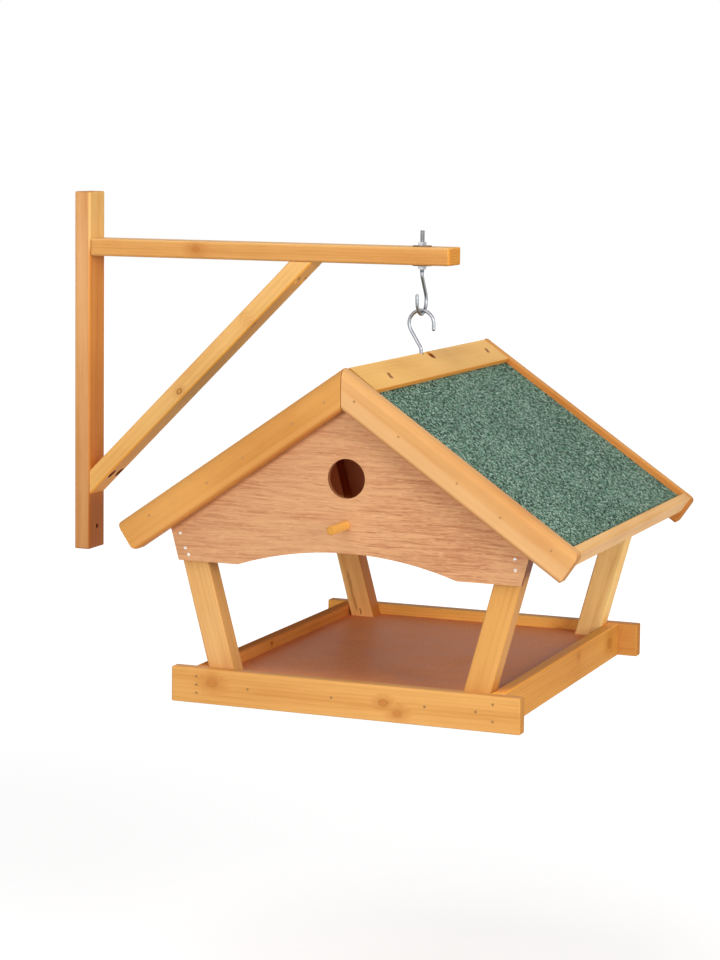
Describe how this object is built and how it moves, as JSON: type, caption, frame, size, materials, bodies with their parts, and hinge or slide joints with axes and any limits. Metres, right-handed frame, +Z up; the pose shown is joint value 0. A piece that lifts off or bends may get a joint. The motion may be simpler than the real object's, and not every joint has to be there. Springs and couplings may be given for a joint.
{
  "type": "bird feeder",
  "caption": "Wooden bird feeder house with a felted pitched roof over an open seed tray, hung by wire hooks from a braced wooden wall bracket.",
  "frame": {"origin": "on the back face of the wall post, at its mid-width, level with the top of the arm", "axes": "+X out from the wall along the arm, +Z up, +Y to the right of someone who faces the wall; the perch is on the -Y side"},
  "size_m": [0.5708, 0.416, 0.4518],
  "materials": {
    "bracket_wood": "oiled softwood, satin",
    "zinc_wire": "bright zinc plated",
    "zinc_steel": "bright zinc plated",
    "screw_steel": "yellow zinc plated",
    "board_wood": "oiled softwood, satin",
    "leg_wood": "oiled softwood, satin",
    "gable_plywood": "oiled plywood, satin",
    "floor_plywood": "brown film faced plywood, matt",
    "roof_felt": "green mineral granules on bitumen felt",
    "nail_steel": "plain steel, dulled",
    "pin_white": "white lacquer",
    "perch_wood": "oiled beech dowel"
  },
  "bodies": {
    "bracket": {"wall_post": "bracket_wood", "arm": "bracket_wood", "brace": "bracket_wood", "brace_screws": "screw_steel", "arm_screws": "screw_steel", "upper_hook": "zinc_wire", "upper_hook_nuts": "zinc_steel", "upper_hook_washers": "zinc_steel"},
    "hook": {"ridge_hook": "zinc_wire", "ridge_hook_nut": "zinc_steel", "ridge_hook_washer": "zinc_steel"},
    "house": {"tray_front_board": "board_wood", "tray_back_board": "board_wood", "tray_left_board": "board_wood", "tray_right_board": "board_wood", "tray_floor": "floor_plywood", "tray_nails": "nail_steel", "leg_front_left": "leg_wood", "leg_front_right": "leg_wood", "leg_back_left": "leg_wood", "leg_back_right": "leg_wood", "front_gable": "gable_plywood", "back_gable": "gable_plywood", "gable_pins": "pin_white", "perch": "perch_wood", "barge_front_left": "board_wood", "barge_front_right": "board_wood", "barge_back_left": "board_wood", "barge_back_right": "board_wood", "barge_nails": "nail_steel", "roof_panel_left": "gable_plywood", "roof_panel_right": "gable_plywood", "roof_felt_left": "roof_felt", "roof_felt_right": "roof_felt", "eave_board_left": "board_wood", "eave_board_right": "board_wood", "ridge_board_left": "board_wood", "ridge_board_right": "board_wood", "ridge_staples": "nail_steel", "ridge_beam": "board_wood"}
  },
  "joints": [
    {"name": "hook_swing", "type": "hinge", "parent": "bracket", "child": "hook", "pos_m": [0.3565, 0, -0.05945], "axis": [1, 0, 0], "range_deg": [-30, 30]},
    {"name": "house_swivel", "type": "hinge", "parent": "hook", "child": "house", "pos_m": [0.3565, 0, -0.12], "axis": [0, 0, 1], "range_deg": [-75, 75]}
  ]
}
